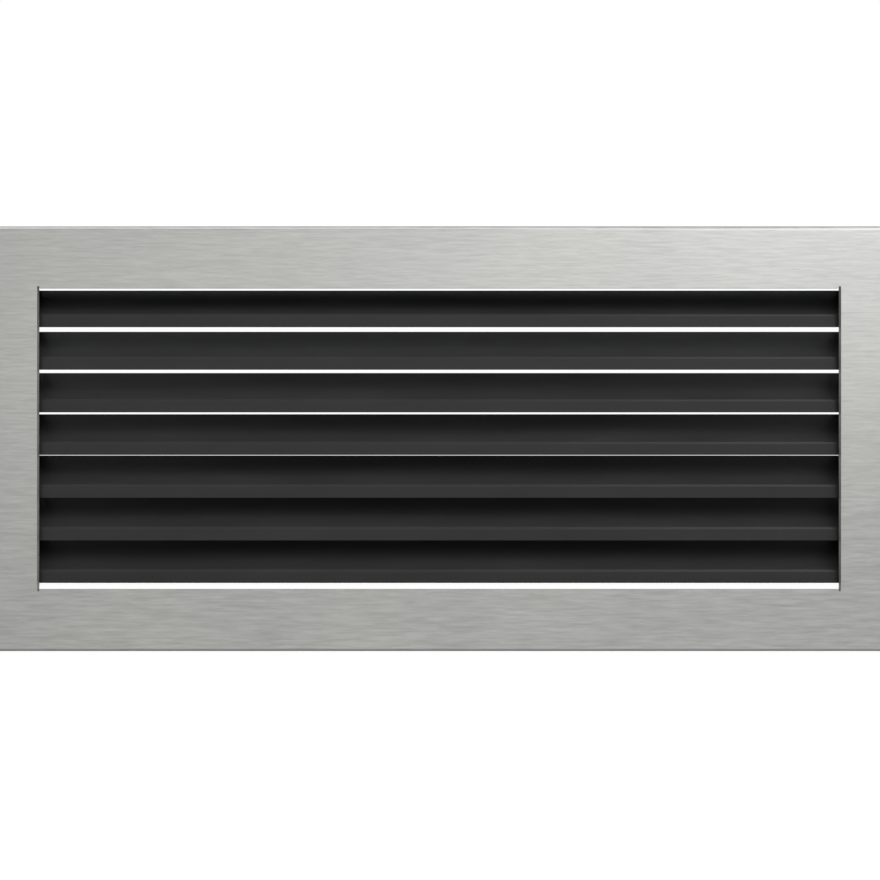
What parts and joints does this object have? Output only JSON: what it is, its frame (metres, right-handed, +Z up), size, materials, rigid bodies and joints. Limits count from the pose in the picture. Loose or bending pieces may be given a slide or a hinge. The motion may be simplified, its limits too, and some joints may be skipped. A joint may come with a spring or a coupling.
{
  "type": "warm air grille",
  "caption": "Rectangular warm air grille: brushed steel face frame with fixed black sloping louvre blades, in a cassette that plugs into a sleeve in the wall.",
  "frame": {"origin": "middle of the wall plane, which the sleeve's rim and the face frame's folded edges rest on", "axes": "+X along the grille's long side, +Y into the wall and away from the room, +Z up"},
  "size_m": [0.37, 0.038, 0.17],
  "materials": {
    "brushed_face": "stainless sheet with a horizontal brushed grain",
    "black_paint": "semi-gloss black stove paint on steel sheet",
    "galvanised": "dull zinc-coated steel sheet with a faint spangle",
    "spring_steel": "rolled spring steel strip",
    "zinc_fasteners": "bright zinc plating"
  },
  "bodies": {
    "sleeve": {"wall_sleeve": "galvanised"},
    "grille": {"face_frame": "brushed_face", "louvre_blade_1": "black_paint", "louvre_blade_2": "black_paint", "louvre_blade_3": "black_paint", "louvre_blade_4": "black_paint", "louvre_blade_5": "black_paint", "louvre_blade_6": "black_paint", "louvre_blade_7": "black_paint", "side_plate_left": "black_paint", "side_plate_right": "black_paint", "top_rail": "black_paint", "bottom_rail": "black_paint", "spring_clip_upper_left": "spring_steel", "spring_clip_upper_right": "spring_steel", "spring_clip_lower_left": "spring_steel", "spring_clip_lower_right": "spring_steel", "clip_rivets": "zinc_fasteners", "weld_studs": "zinc_fasteners", "stud_washers": "zinc_fasteners", "stud_nuts": "zinc_fasteners"}
  },
  "joints": [
    {"name": "front_pull", "type": "slide", "parent": "sleeve", "child": "grille", "axis": [0, -1, 0], "range_m": [0, 0.04]}
  ]
}
